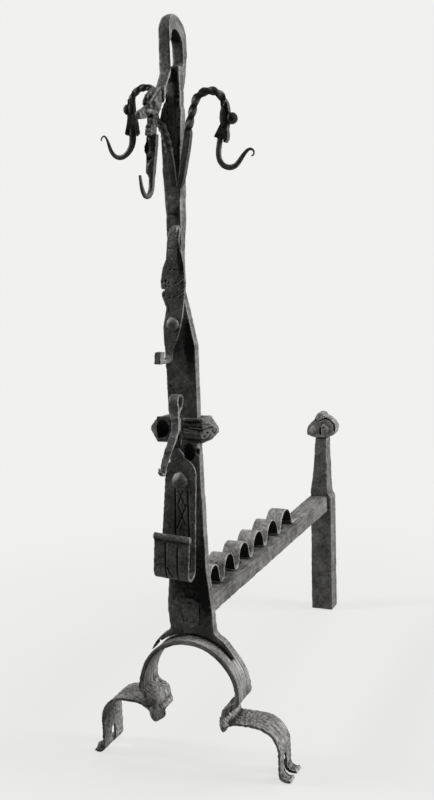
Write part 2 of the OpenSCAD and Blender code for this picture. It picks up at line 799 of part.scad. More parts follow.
module right_head() {
    color(dark_iron) placed() translate([0, arm_y, 0]) difference() {
        translate([right_arch_x + right_arch_r, 0, right_arch_z - seam]) serpent_head(39, 10);
        shank(right_shank_x, right_shank_top, right_bowl_z, shank_d + 2 * slack);
    }
}

module left_head() {
    color(dark_iron) placed() translate([0, arm_y, 0]) mirror([1, 0, 0]) difference() {
        translate([left_arch_x + left_arch_r, 0, left_arch_z - seam]) serpent_head(35, 7);
        shank(left_shank_x, left_shank_top, left_bowl_z, shank_d + 2 * slack);
    }
}

// A round hook in the arms' plane: bowl, then a small curl at its tip
module side_hook(shank_x, top_z, bowl_z, bowl_r, curl_x, curl_z, curl_r) {
    drawn_out(concat([[shank_x + shank_lean, 0, top_z]],
        arc(shank_x + bowl_r, bowl_z, bowl_r, 180, 310, 8),
        arc(curl_x, curl_z, curl_r, 150, -60, 6)), shank_d, tip_d);
}

module right_hook() {
    curl_r = 3.5;
    curl_x = right_reach - curl_r - tip_d / 2;
    color(dark_iron) placed() translate([0, arm_y, 0])
        side_hook(right_shank_x, right_shank_top, right_bowl_z, right_bowl_r, curl_x,
            right_bowl_z, curl_r);
}

module left_hook() {
    curl_r = 3.5;
    curl_x = left_reach - curl_r - tip_d / 2;
    color(dark_iron) placed() translate([0, arm_y, 0]) mirror([1, 0, 0])
        side_hook(left_shank_x, left_shank_top, left_bowl_z, left_bowl_r, curl_x,
            left_bowl_z + 9, curl_r);
}

// ---- Front arm ----

module front_arm() {
    front = post_t / 2 + eye_back - eye_d / 2;
    color(dark_iron) placed() profile(top_x, eye_w - 1) polygon([[front - seam, slot_z - 4],
        [front - 5, slot_z - 12], [-28, eye_base_z + 13], [-33, eye_base_z + 11],
        [-33, eye_base_z - 9], [-28, eye_base_z - 1], [-24, eye_base_z + 12],
        [front + 4 - seam, slot_z - 10]]);
}

module front_head() {
    top = eye_base_z + 11;
    mid_x = top_x - 1;
    color(dark_iron) placed() difference() {
        union() {
            profile(mid_x, head_t - 1) polygon([[-33 - seam, top], [-43, top - 3], [-52, top - 9],
                [-59, top - 17], [-68, top - 29], [-81, top - 34], [-82, top - 42],
                [-62, top - 40], [-63, top - 55], [-51, top - 57], [-46, top - 40],
                [-37, top - 25], [-33 - seam, top - 20]]);
            // Ears laid back along both cheeks
            for (side = [-1, 1]) hull() {
                translate([mid_x + side * 4, -45, top - 7]) sphere(d = 7, $fn = 20);
                translate([mid_x + side * 5, -60, top - 20]) sphere(d = 6, $fn = 20);
            }
        }
        translate([mid_x, -front_shank_y, top - 60]) cylinder(d = shank_d + 2 * seam, h = 18);
    }
}

module front_hook() {
    bowl_r = (front_reach - front_shank_y - tip_d / 2 - 1) / 2;
    bowl_z = front_hook_z + bowl_r + shank_d * 0.4;
    top = eye_base_z - 34;
    leaf_mid = eye_base_z - 57;
    color(dark_iron) placed() translate([top_x - 1, -front_shank_y, 0]) rotate([0, 0, -90]) {
        drawn_out(concat([[0, 0, top], [0, 0, (top + bowl_z) / 2]],
            arc(bowl_r, bowl_z, bowl_r, 180, 350, 10), [[2 * bowl_r + 1, 0, bowl_z + 7]]),
            shank_d - 1, tip_d);
        // The leaf below the head
        hull() {
            for (side = [-1, 1]) translate([0, side * 4, leaf_mid]) sphere(d = 6, $fn = 20);
            translate([0, 0, leaf_mid + 8]) sphere(d = 7, $fn = 20);
            translate([0, 0, leaf_mid - 12]) sphere(d = 8, $fn = 20);
        }
    }
}

post();
top_eye();
arch();
left_leg();
right_leg();
log_bar();
wave_strip();
rear_leg();
rear_bud();
collar();
lower_hook();
lower_rivet();
upper_hook();
upper_rivet();
left_arm();
left_head();
left_hook();
right_arm();
right_head();
right_hook();
front_arm();
front_head();
front_hook();
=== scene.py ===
import bpy
import bmesh
import math
import numpy as np
from mathutils import Matrix, Vector, noise


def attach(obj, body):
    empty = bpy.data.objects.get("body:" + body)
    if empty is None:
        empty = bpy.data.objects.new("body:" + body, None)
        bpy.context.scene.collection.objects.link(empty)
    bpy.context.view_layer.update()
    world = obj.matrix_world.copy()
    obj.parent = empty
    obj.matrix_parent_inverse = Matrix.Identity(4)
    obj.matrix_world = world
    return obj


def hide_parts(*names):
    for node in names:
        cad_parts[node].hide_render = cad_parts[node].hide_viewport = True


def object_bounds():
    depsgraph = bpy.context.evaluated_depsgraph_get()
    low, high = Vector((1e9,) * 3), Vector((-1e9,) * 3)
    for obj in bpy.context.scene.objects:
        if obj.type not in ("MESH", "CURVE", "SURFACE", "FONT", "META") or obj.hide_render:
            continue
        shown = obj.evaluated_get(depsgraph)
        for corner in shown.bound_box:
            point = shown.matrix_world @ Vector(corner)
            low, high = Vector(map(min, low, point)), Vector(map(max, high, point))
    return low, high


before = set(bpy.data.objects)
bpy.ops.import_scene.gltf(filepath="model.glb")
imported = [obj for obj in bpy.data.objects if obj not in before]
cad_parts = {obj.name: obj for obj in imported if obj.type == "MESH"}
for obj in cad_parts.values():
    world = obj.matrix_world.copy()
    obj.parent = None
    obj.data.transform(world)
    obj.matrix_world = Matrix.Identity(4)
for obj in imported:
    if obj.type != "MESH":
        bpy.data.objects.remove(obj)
cad_low, cad_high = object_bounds()

# ---- Feet ----
# The half-round arch and the two legs: straps of wrought iron, spread into fans at the knees and
# welded one on the other there, then arched over to the hearth. Each end is slit and turned up.

feet = Vector((0.002, -0.25775, 0.0))


def at(x, y, z):
    """A place in millimetres from the middle of the feet, at the post's front face"""
    return feet + Vector((x, y, z)) / 1000


def new_piece(name, bm):
    """The bmesh made into an object of the scene"""
    mesh = bpy.data.meshes.new(name)
    bm.to_mesh(mesh)
    bm.free()
    piece = bpy.data.objects.new(name, mesh)
    bpy.context.scene.collection.objects.link(piece)
    return piece


def shapes_of(*nodes):
    """The CAD nodes' shapes, their loose triangles joined"""
    bm = bmesh.new()
    for node in nodes:
        bm.from_mesh(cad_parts[node].data)
    bmesh.ops.remove_doubles(bm, verts=bm.verts, dist=0.00001)
    return bm


def lump(bm, centre, radii, tilt=0):
    """A rounded lump; a tilt leans its top towards the right"""
    place = (Matrix.Translation(at(*centre)) @ Matrix.Rotation(math.radians(tilt), 4, "Y")
             @ Matrix.Diagonal((*[r / 1000 for r in radii], 1)))
    bmesh.ops.create_uvsphere(bm, u_segments=28, v_segments=16, radius=1, matrix=place)


def block(bm, centre, size, tilt=0):
    """A block with square edges; a tilt leans its top towards the right"""
    place = (Matrix.Translation(at(*centre)) @ Matrix.Rotation(math.radians(tilt), 4, "Y")
             @ Matrix.Diagonal((*[s / 1000 for s in size], 1)))
    bmesh.ops.create_cube(bm, size=1, matrix=place)


def drawn_mesh(piece):
    """Puts the mesh that the piece's modifiers draw in place of its own"""
    drawn = piece.evaluated_get(bpy.context.evaluated_depsgraph_get())
    made = bpy.data.meshes.new_from_object(drawn)
    piece.modifiers.clear()
    loose, piece.data = piece.data, made
    bpy.data.meshes.remove(loose)


def reskin(piece, voxel, hollows=None):
    """One closed skin of even faces over everything in the piece, less the hollows"""
    def skin():
        cover = piece.modifiers.new("skin", "REMESH")
        cover.mode = "VOXEL"
        cover.voxel_size = voxel / 1000
        drawn_mesh(piece)

    skin()
    if hollows:
        cutter = new_piece("cutter", hollows)
        cut = piece.modifiers.new("cut", "BOOLEAN")
        cut.operation, cut.solver, cut.object = "DIFFERENCE", "MANIFOLD", cutter
        drawn_mesh(piece)
        bpy.data.meshes.remove(cutter.data)
        skin()


def coordinates(mesh):
    """The places of the vertices in metres, a row for each"""
    co = np.empty(len(mesh.vertices) * 3)
    mesh.vertices.foreach_get("co", co)
    return co.reshape(-1, 3)


def normals(mesh):
    """The way each vertex faces, a row for each"""
    no = np.empty(len(mesh.vertices) * 3)
    mesh.vertex_normals.foreach_get("vector", no)
    return no.reshape(-1, 3)


def measured(co):
    """Places in millimetres from the middle of the feet"""
    return (co - np.array(feet)) * 1000


def neighbour_mean(mesh, values):
    """The mean of a value over the vertices next to each vertex"""
    ends = np.empty(len(mesh.edges) * 2, dtype=np.int64)
    mesh.edges.foreach_get("vertices", ends)
    a, b = ends.reshape(-1, 2).T
    here, there = np.concatenate((a, b)), np.concatenate((b, a))
    count = np.maximum(np.bincount(here, minlength=len(mesh.vertices)), 1)
    columns = values.reshape(len(values), -1).T
    means = [np.bincount(here, column[there], minlength=len(values)) / count for column in columns]
    return np.stack(means, axis=1).reshape(values.shape)


def rough(mm, sizes, seed):
    """Noise from 0 to 1 whose lumps have these sizes along x, y and z, in millimetres"""
    shift = Vector((seed * 7.3, seed * 3.1, seed * 5.7))
    return np.array([0.5 + 0.5 * noise.noise(Vector(p) + shift)
                     for p in mm / np.array(sizes, dtype=float)])


def carved(mm, no, marks):
    """Depth of the lines and dots cut in faces turned to the front. Each mark is x and z of its
    two ends, its half width, its depth and the range of y it reaches."""
    depth = np.zeros(len(mm))
    for x0, z0, x1, z1, width, deep, near, back in marks:
        start, run = np.array((x0, z0)), np.array((x1 - x0, z1 - z0))
        flat = mm[:, [0, 2]] - start
        share = np.clip(flat @ run / max(run @ run, 1e-9), 0, 1)
        away = np.linalg.norm(flat - share[:, None] * run, axis=1)
        t = np.clip(1 - away / width, 0, 1)
        reached = (mm[:, 1] > near) & (mm[:, 1] < back) & (no[:, 1] < -0.2)
        depth = np.maximum(depth, np.where(reached, deep * t * t * (3 - 2 * t), 0))
    return depth


def front_to_back(mm):
    """The lay of a bar that runs from front to back; on the front faces of other pieces it gives
    an even grain with no direction"""
    return mm


def hammer(piece, voxel, soften, dents, lay=front_to_back, shape=None, hollows=None, marks=(),
           streaks=0.4, painted_light_and_shade=(), seed=1):
    """Turns clean geometry into forged iron: edges softened in so many rounds, faces dented, marks
    cut, and the bare edges and dark hollows noted for the finish, with the cut marks painted darker
    as shade. Voxel, dents and streaks are in millimetres. The lay gives across, along and out of
    the bar. Each entry of painted light and shade (centre, radii, amount) paints a highlight on the
    faces turned to its centre or, below zero, paints shade on them."""
    reskin(piece, voxel, hollows)
    mesh = piece.data
    co = coordinates(mesh)
    for _ in range(soften):
        co += 0.5 * (neighbour_mean(mesh, co) - co)
    if shape:
        co = np.array(feet) + shape(measured(co)) / 1000
    mesh.vertices.foreach_set("co", co.ravel())
    mesh.update()
    no, mm = normals(mesh), measured(co)
    run = lay(mm)
    cut = dents * (0.7 * rough(mm, (19, 19, 19), seed) + 0.4 * rough(mm, (7, 7, 7), seed + 1)
                   + 0.25 * rough(mm, (2.6, 2.6, 2.6), seed + 2))
    drawn = carved(mm, no, marks)
    cut += streaks * rough(run, (3.2, 45, 3.2), seed + 3) + drawn
    co = np.clip(co - no * cut[:, None] / 1000, np.array(cad_low), np.array(cad_high))
    mesh.vertices.foreach_set("co", co.ravel())
    mesh.update()
    lean = ((co - neighbour_mean(mesh, co)) * normals(mesh)).sum(axis=1)
    bare_edge = 0.00007 * voxel
    wear_and_painted_light = np.clip(lean / bare_edge, -1, 1)
    for _ in range(2):
        wear_and_painted_light = neighbour_mean(mesh, wear_and_painted_light)
    # Painted shade: the cut lines and dots are made darker
    wear_and_painted_light -= np.clip(1.2 * drawn, 0, 1.3)
    # Painted highlights and painted shade, laid on the faces turned to each centre
    for centre, radii, amount in painted_light_and_shade:
        away = np.array(centre) - mm
        inside = np.clip(2.5 * (1 - np.linalg.norm(away / np.array(radii), axis=1)), 0, 1)
        wear_and_painted_light += amount * inside * np.clip((away * no).sum(axis=1), 0, 1)
    wear_and_painted_light = np.clip(wear_and_painted_light, -1, 1)
    mesh.attributes.new("wear_and_painted_light", "FLOAT", "POINT").data.foreach_set("value", wear_and_painted_light)
    mesh.attributes.new("run", "FLOAT_VECTOR", "POINT").data.foreach_set("vector",
                                                                      run.ravel() / 1000)
    mesh.polygons.foreach_set("use_smooth", np.ones(len(mesh.polygons), dtype=bool))


class Pin:
    """One output of a material's nodes, which can be used in sums"""

    def __init__(self, tree, socket=None):
        self.tree, self.socket = tree, socket

    def node(self, kind, inputs=(), output=0, **settings):
        made = self.tree.nodes.new(kind)
        for name, value in settings.items():
            setattr(made, name, value)
        for name, value in dict(inputs).items():
            if isinstance(value, Pin):
                self.tree.links.new(value.socket, made.inputs[name])
            else:
                made.inputs[name].default_value = value
        return Pin(self.tree, made.outputs[output] if made.outputs else None)

    def maths(self, operation, *values):
        return self.node("ShaderNodeMath", enumerate(values), operation=operation)

    def __add__(self, other):
        return self.maths("ADD", self, other)

    def __sub__(self, other):
        return self.maths("SUBTRACT", self, other)

    def __rsub__(self, other):
        return self.maths("SUBTRACT", other, self)

    def __mul__(self, other):
        return self.maths("MULTIPLY", self, other)

    __radd__, __rmul__ = __add__, __mul__

    def clamp(self):
        return self.node("ShaderNodeClamp", {"Value": self})

    def between(self, low, high):
        return self.node("ShaderNodeMapRange", {"Value": self, "From Min": low, "From Max": high})


def forged_iron(name, deep, bright, shine, grained):
    """Black scale with pits and a grain along the lay; edges rubbed lighter, hollows left sooty, and
    painted highlights and painted shade laid on from the same attribute
    """
    material = bpy.data.materials.new(name)
    material.use_nodes = True
    tree = material.node_tree
    tree.nodes.clear()
    pin = Pin(tree)
    place = pin.node("ShaderNodeTexCoord", output="Object")
    run = pin.node("ShaderNodeAttribute", output="Vector", attribute_name="run")
    wear_and_painted_light = pin.node("ShaderNodeAttribute", output="Fac", attribute_name="wear_and_painted_light")
    along = pin.node("ShaderNodeMapping", {"Vector": run, "Scale": (300, 22, 300)})
    grain = pin.node("ShaderNodeTexNoise", {"Vector": along, "Scale": 1, "Detail": 5,
                                            "Roughness": 0.6, "Distortion": 0.4})
    cloud = pin.node("ShaderNodeTexNoise", {"Vector": place, "Scale": 42, "Detail": 8,
                                            "Roughness": 0.68})
    speck = pin.node("ShaderNodeTexNoise", {"Vector": place, "Scale": 380, "Detail": 4,
                                            "Roughness": 0.65})
    cell = pin.node("ShaderNodeTexVoronoi", {"Vector": place, "Scale": 230, "Randomness": 1})
    pit = (1 - cell.between(0.1, 0.4)) * cloud.between(0.54, 0.68)
    # Rubbed edges and painted highlights; below, sooty hollows and painted shade
    rubbed_and_lit = wear_and_painted_light.between(0.08, 0.7) * grain.between(0.25, 0.6)
    sooty_and_shaded = (0 - wear_and_painted_light).between(0.06, 0.8)
    tone = (grain.between(0.38, 0.64) * grained + cloud.between(0.37, 0.64) * 0.46
            + speck.between(0.36, 0.66) * 0.3 + rubbed_and_lit * 0.4 - pit * 0.5).clamp()
    # Darker in sooty hollows and under painted shade
    tone = tone * (1 - sooty_and_shaded * 0.92)
    colour = pin.node("ShaderNodeMix", {0: tone, 6: (*deep, 1), 7: (*bright, 1)}, output=2,
                      data_type="RGBA")
    roughness = (shine + (cloud - 0.5) * 0.3 + pit * 0.2 - rubbed_and_lit * 0.15 + sooty_and_shaded * 0.4).clamp()
    height = grain * grained * 1.5 + speck * 0.35 + cloud * 0.5 - pit * 0.6
    bump = pin.node("ShaderNodeBump", {"Height": height, "Strength": 0.8, "Distance": 0.0015})
    shader = pin.node("ShaderNodeBsdfPrincipled", {"Base Color": colour, "Roughness": roughness,
                                                   "Metallic": 0.15, "Specular IOR Level": 0.2,
                                                   "Normal": bump})
    pin.node("ShaderNodeOutputMaterial", {"Surface": shader})
    return material


black_iron = forged_iron("black_iron", (0.012, 0.0118, 0.0114), (0.25, 0.246, 0.238), 0.58, 0.14)
rubbed_iron = forged_iron("rubbed_iron", (0.009, 0.0088, 0.0085), (0.32, 0.313, 0.302), 0.56, 0.5)
sooty_iron = forged_iron("sooty_iron", (0.012, 0.0116, 0.011), (0.12, 0.118, 0.113), 0.5, 0.18)


def done(piece, nodes, material, body="andiron"):
    """Gives the piece its finish, hides the CAD nodes it stands for and hangs it on the body it
    rides
    """
    piece.data.materials.clear()
    piece.data.materials.append(material)
    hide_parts(*nodes)
    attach(piece, body)


def bar_along(bm, points, sides=12, turns=None):
    """A bar along points of x, y, z and its thickness, round or square, twisted by turns"""
    ring = bmesh.ops.create_circle(bm, segments=sides, radius=1)["verts"]
    if sides == 4:
        bmesh.ops.rotate(bm, verts=ring, matrix=Matrix.Rotation(math.pi / 4, 3, "Z"))
    edges = list({e for v in ring for e in v.link_edges})
    first, placed = list(edges), Matrix.Identity(4)
    places = [at(*p[:3]) for p in points]
    for i, point in enumerate(places):
        ahead = (places[min(i + 1, len(places) - 1)] - places[max(i - 1, 0)]).normalized()
        flat = Vector((0, 1, 0)) if abs(ahead.y) < 0.8 else Vector((1, 0, 0))
        flat = (flat - ahead * ahead.dot(flat)).normalized()
        half = points[i][3] / 2000 * (math.sqrt(2) if sides == 4 else 1)
        here = (Matrix.Translation(point)
                @ Matrix((flat.cross(ahead), flat, ahead)).transposed().to_4x4()
                @ Matrix.Rotation(turns[i] if turns else 0, 4, "Z")
                @ Matrix.Diagonal((half, half, 1, 1)))
        if i:
            grown = bmesh.ops.extrude_edge_only(bm, edges=edges)["geom"]
            ring = [g for g in grown if isinstance(g, bmesh.types.BMVert)]
            edges = [g for g in grown if isinstance(g, bmesh.types.BMEdge)
                     and all(v in ring for v in g.verts)]
        bmesh.ops.transform(bm, matrix=here @ placed.inverted(), verts=ring)
        placed = here
    bmesh.ops.edgeloop_fill(bm, edges=first)
    bmesh.ops.edgeloop_fill(bm, edges=edges)
    bmesh.ops.recalc_face_normals(bm, faces=bm.faces)


arch_z, arch_mid, arch_outer, knee_z, strap_y = 96.5, 64, 74, 72, 4.5


def lay_feet(mm):
    """Across the strap, along it and out of its face, round the arch and down the legs"""
    x, y, z = mm.T
    turn = np.where(z > arch_z, np.arctan2(z - arch_z, np.abs(x)), (z - arch_z) / arch_mid)
    arch = (np.hypot(x, z - arch_z) < arch_outer) & (z > knee_z)
    along = np.where(arch, -turn * arch_mid, 90 + np.abs(x) - z)
    return np.stack((y, along, np.where(arch, np.hypot(x, z - arch_z), x + z)), axis=1)


def round_fans(mm):
    """The corners of the fans at the knees are rounded off"""
    fan_low, fan_high, fan_end, corner_from, corner_width = 45, 90, 52, 48, 11
    out = mm.copy()
    side = np.abs(mm[:, 0])
    inward = np.clip((corner_from - side) / corner_width, 0, 1)
    fan = (mm[:, 2] > fan_low) & (mm[:, 2] < fan_high) & (side < fan_end)
    narrow = np.where(fan, 1 - 0.5 * inward ** 2.2, 1)
    out[:, 1] = strap_y + (mm[:, 1] - strap_y) * narrow
    return out


bm = shapes_of("arch", "left_leg", "right_leg")
# Each fan ends in a roll, which swells in front and above
for side in (-1, 1):
    bar_along(bm, [(side * 44, -21, 65, 12), (side * 43.5, 4, 66, 13), (side * 44, 30, 66, 12)])
    lump(bm, (side * 44.5, -19, 64), (9, 8, 11.5), side * 15)
    lump(bm, (side * 51, strap_y, 72), (6, 25, 7), side * -30)
left_curl, right_curl = (-125.2, -16, 8.4), (120, -14, 4.5)
lump(bm, left_curl, (6.5, 8, 8.2))
lump(bm, right_curl, (8, 3.5, 4.5))
forged_feet = new_piece("forged_feet", bm)
hammer(forged_feet, voxel=1.1, soften=4, dents=1.3, lay=lay_feet, shape=round_fans, streaks=1.9,
       seed=3)
done(forged_feet, ("arch", "left_leg", "right_leg"), rubbed_iron)

# ---- Post, eye and neck ----
# One wrought-iron bar, forged flat and drawn down towards the top. Its foot is spread into wings
# that are welded along the arch; its top leans back, turns over as the eye and comes down in
# front, where the neck of the front hook is welded to it. Punched and cut by hand near the top.

wing_mid, wing_outer, wing_top, post_mid, broad_from = 68.7, 79, 165, -1.5, 630


def post_shape(mm):
    """The wings thin out towards their ends; the top of the bar is broad and stout, and its eye is
    rounded over"""
    out = mm.copy()
    x, z = mm[:, 0], mm[:, 2] - arch_z
    reach = np.hypot(x, z)
    low = np.clip((60 - np.degrees(np.arctan2(z, np.abs(x)))) / 24, 0, 1)
    wing = (np.abs(x) > 30) & (reach < wing_outer) & (z > 0) & (mm[:, 2] < wing_top)
    thin = np.where(wing, wing_mid + (reach - wing_mid) * (1 - 0.72 * low), reach)
    out[:, 0] *= thin / np.maximum(reach, 1)
    out[:, 2] = arch_z + z * thin / np.maximum(reach, 1)
    high = mm[:, 2]
    left = np.interp(high, (630, 668, 702, 745, 782, 806, 836, 872, 886, 898),
                     (1, 1.15, 1.35, 1.6, 1.75, 1.55, 1.33, 1.33, 1.2, 0.8))
    right = np.interp(high, (700, 760, 800, 872, 886, 898), (1, 1.1, 1.33, 1.33, 1.2, 0.8))
    broad = post_mid + (out[:, 0] - post_mid) * np.where(x < post_mid, left, right)
    out[:, 0] = np.where(high > broad_from, broad, out[:, 0])
    stout = np.interp(high, (640, 668, 750, 800), (1, 1.4, 1.35, 1))
    out[:, 1] = np.where(mm[:, 1] > 0, mm[:, 1] * stout, mm[:, 1])
    return out


bm = shapes_of("post", "top_eye", "front_arm")
# The ring beaten round the top of the hollow in the post's face
ring_x, ring_z = 5, 394.5
ring = [(ring_x + 11 * math.cos(math.radians(a)), -0.6, ring_z + 12.5 * math.sin(math.radians(a)), 5)
        for a in range(200, 9, -12)]
bar_along(bm, ring)
# Stouter metal at the bar's top and in the fold of the eye
block(bm, (0, 7, 819), (14, 14, 42))
lump(bm, (-1.5, -9, 873), (6, 7.5, 13))
# The hollow, a cut at the ring's right end and the slot of the eye
hollows = bmesh.new()
lump(hollows, (5, -2, 393), (7.6, 6, 11.5))
block(hollows, (17, -2, 393.5), (8, 12, 6), 35)
block(hollows, (3.2, -6.6, 834), (9.4, 12.4, 28))
post_face = (-3, 4)
dots = [(6.6, 804.8), (6.4, 797.5), (6.8, 789), (6.4, 780), (6, 771), (-8.2, 802), (-7.6, 795.5),
        (-8, 788.5), (-8.4, 781)]
marks = [(x, z, x, z, 2.3, 1.8, *post_face) for x, z in dots]
marks += [(-4, 800, -3.6, 776, 1.1, 0.6, *post_face), (2.2, 806, 2, 772, 1.1, 0.6, *post_face),
          (-10, 674, 2, 673, 1.2, 0.6, *post_face)]
# Painted shade in the ring's hollow, between the laps of the arms, beside both hooks, round the cut
# line, in the eye's slot and cave and low on the post; painted highlights on the eye's top, on a
# step just below the laps and over the right side
painted_light_and_shade = [((5, -4, 393), (8, 10, 11.5), -1.2), ((9, -5, 730), (9, 10, 62), -1.6),
          ((11, -5, 525), (12, 10, 48), -1.1), ((24, -5, 300), (12, 9, 75), -0.9),
          ((2, -5, 674), (11, 10, 14), -0.8), ((-1, -75, 850), (40, 80, 50), 0.7),
          ((26, -5, 236), (18, 9, 28), -0.8), ((0, -20, 240), (45, 40, 70), -0.7),
          ((24, -12, 215), (22, 20, 60), -0.8), ((-2, -5, 640), (12, 9, 30), -0.4),
          ((-2, 9, 873), (14, 14, 10), -1.2), ((4.5, -5, 818), (6, 10, 34), -1.1),
          ((-7, -5, 693.3), (9, 8, 3.2), 1.9), ((80, 12, 480), (72, 90, 700), 0.5)]
forged_post = new_piece("forged_post", bm)
hammer(forged_post, voxel=1.3, soften=3, dents=1.0, shape=post_shape, hollows=hollows,
       marks=marks, streaks=0.5, painted_light_and_shade=painted_light_and_shade, seed=11)
done(forged_post, ("post", "top_eye", "front_arm"), black_iron)

# ---- Log bar ----
# A square wrought-iron bar that runs back from the post to the rear leg and carries the logs. Its
# front end is a tenon, passed through the post and hammered over to an oval.


def bar_shape(mm):
    """The top of the bar rises a little towards the rear leg"""
    out = mm.copy()
    out[:, 2] += np.where(mm[:, 2] > 195, np.interp(mm[:, 1], (380, 560), (0, 3.5)), 0)
    return out


first_hump, hump_pitch, hump_growth = 58, 50, 1.065
humps = [first_hump]
for i in range(5):
    humps.append(humps[-1] + hump_pitch * hump_growth ** (i + 0.5))
bm = shapes_of("log_bar")
block(bm, (2, 7, 194), (23, 8, 23))
# Painted shade on the bar's top under each hump of the wave strip; the bar's top and right side are
# made lighter towards the rear
painted_light_and_shade = [((-9, y, 212), (12, 22, 30), -2.5) for y in humps]
painted_light_and_shade += [((3, 480, 260), (60, 160, 90), 0.5), ((70, 540, 195), (70, 80, 60), 0.6)]
log_bar = new_piece("forged_log_bar", bm)
hammer(log_bar, voxel=1.3, soften=5, dents=1.9, shape=bar_shape, streaks=0.6, painted_light_and_shade=painted_light_and_shade,
       seed=17)
done(log_bar, ("log_bar",), black_iron)

# ---- Wave strip ----
# A thin iron strip bent in six humps, each a little longer than the one before it, and welded
# along the bar's left edge to stop logs rolling. Painted shade makes it black inside the humps.

painted_light_and_shade = [((-7, y, 218), (40, 31, 34), -3) for y in humps]
wave_strip = new_piece("forged_wave_strip", shapes_of("wave_strip"))
hammer(wave_strip, voxel=0.9, soften=1, dents=0.35, streaks=0.3, painted_light_and_shade=painted_light_and_shade, seed=20)
done(wave_strip, ("wave_strip",), rubbed_iron)

# ---- Rear leg ----
# A heavy iron bar that stands on the hearth and holds up the log bar's rear end, welded to it. It
# is drawn down above the bar to a neck, with a few marks cut in it by hand.

neck_x = 3


def leg_shape(mm):
    """The neck stays broad up to the bud"""
    out = mm.copy()
    broad = np.interp(mm[:, 2], (240, 256, 300), (1, 1.08, 1.2))
    out[:, 0] = neck_x + (mm[:, 0] - neck_x) * broad
    return out


neck_face = (560, 590)
marks = [(4.5, 302, 14.5, 292.5, 1.1, 1.0, *neck_face), (2, 297, 6.5, 294, 1.6, 1.1, *neck_face),
         (7, 299, 7, 299, 2.2, 1.2, *neck_face)]
hollows = bmesh.new()
block(hollows, (-19, 568, 72.7), (5, 6, 2.4))
bm = shapes_of("rear_leg")
block(bm, (neck_x, 588, 309), (19, 26, 8))
rear_leg = new_piece("forged_rear_leg", bm)
hammer(rear_leg, voxel=1.3, soften=4, dents=1.3, shape=leg_shape, hollows=hollows, marks=marks,
       streaks=0.6, seed=23)
done(rear_leg, ("rear_leg",), black_iron)

# ---- Bud ----
# The finial on the rear leg's neck: two lobes parted by a cleft, a band wrapped over the right
# one and a square crown, all filed and chiselled from one block of iron.


def plate(bm, outline, centre, thick, facing="XZ"):
    """A flat shape of the given thickness; its outline lies in the XZ or the YZ plane"""
    start = len(bm.verts)
    corners = [at(a, centre, b) if facing == "XZ" else at(centre, a, b) for a, b in outline]
    face = bm.faces.new([bm.verts.new(c) for c in corners])
    up = Vector((0, thick / 1000, 0)) if facing == "XZ" else Vector((thick / 1000, 0, 0))
    grown = bmesh.ops.extrude_face_region(bm, geom=[face], use_keep_orig=True)["geom"]
    far = [g for g in grown if isinstance(g, bmesh.types.BMVert)]
    bmesh.ops.translate(bm, verts=far, vec=up)
    bm.verts.ensure_lookup_table()
    made = bm.verts[start:]
    bmesh.ops.translate(bm, verts=made, vec=-up / 2)
    bmesh.ops.recalc_face_normals(bm, faces=list({f for v in made for f in v.link_faces}))


bud_y = 586.5
outline = [(-21, 317), (-22, 325), (-19.5, 333), (-14, 340), (-7.5, 345.5), (-4.5, 353),
           (2, 358.5), (8.5, 359), (12.5, 353), (19, 350), (26, 344.5), (31, 337.5), (32.5, 331),
           (30.5, 323), (25.5, 317), (18, 313.5), (-8, 312.5)]
bm = bmesh.new()
plate(bm, outline, bud_y - 4, 24)
# The two lobes, the crown and the bud's foot on the neck
lump(bm, (-8.5, bud_y + 1.5, 327), (14, 21, 14.5), 8)
lump(bm, (12.5, bud_y + 1.5, 329.5), (14, 21.5, 16))
block(bm, (4, bud_y - 4, 349), (12, 27, 17), 8)
block(bm, (4.5, bud_y - 1, 312.5), (20, 24, 10))
# The cleft, and a punched dot on each lobe beside it
hollows = bmesh.new()
block(hollows, (3.3, bud_y - 19, 327), (2.1, 13, 17), -1)
for x, z in ((-2.3, 331.8), (9.7, 331.4)):
    lump(hollows, (x, bud_y - 20, z), (1.8, 5, 1.6))
bud_face = (560, 600)
band = [(-6, 345), (-1, 341), (9, 346), (14, 347.5), (21.5, 344.5), (28.5, 337.5), (29.5, 322)]
marks = [(*start, *end, 1.7, 2.6, *bud_face) for start, end in zip(band, band[1:])]
# The bud's faces turned to the front are made lighter
painted_light_and_shade = [((5, 500, 345), (60, 100, 50), 0.6)]
rear_bud = new_piece("carved_rear_bud", bm)
hammer(rear_bud, voxel=0.8, soften=4, dents=0.8, hollows=hollows, marks=marks, streaks=0.2,
       painted_light_and_shade=painted_light_and_shade, seed=26)
done(rear_bud, ("rear_bud",), rubbed_iron)

# ---- Collar ----
# A collar of iron strap pinched tight round the post: a ridged band in front, broken behind the
# handle, and a blunt point at each side with a cut line and punched dots.


def lay_across(mm):
    """The lay of a band that runs from left to right"""
    return mm[:, [2, 0, 1]]


# The band's left half in front, then the two ridges of its right half
bm = shapes_of("collar")
block(bm, (-24, -7.5, 426), (17.5, 5, 24), -2)
block(bm, (14, -8.5, 434.5), (20, 4, 4), 1)
block(bm, (13.5, -8.5, 415.5), (24, 4, 7), 2)
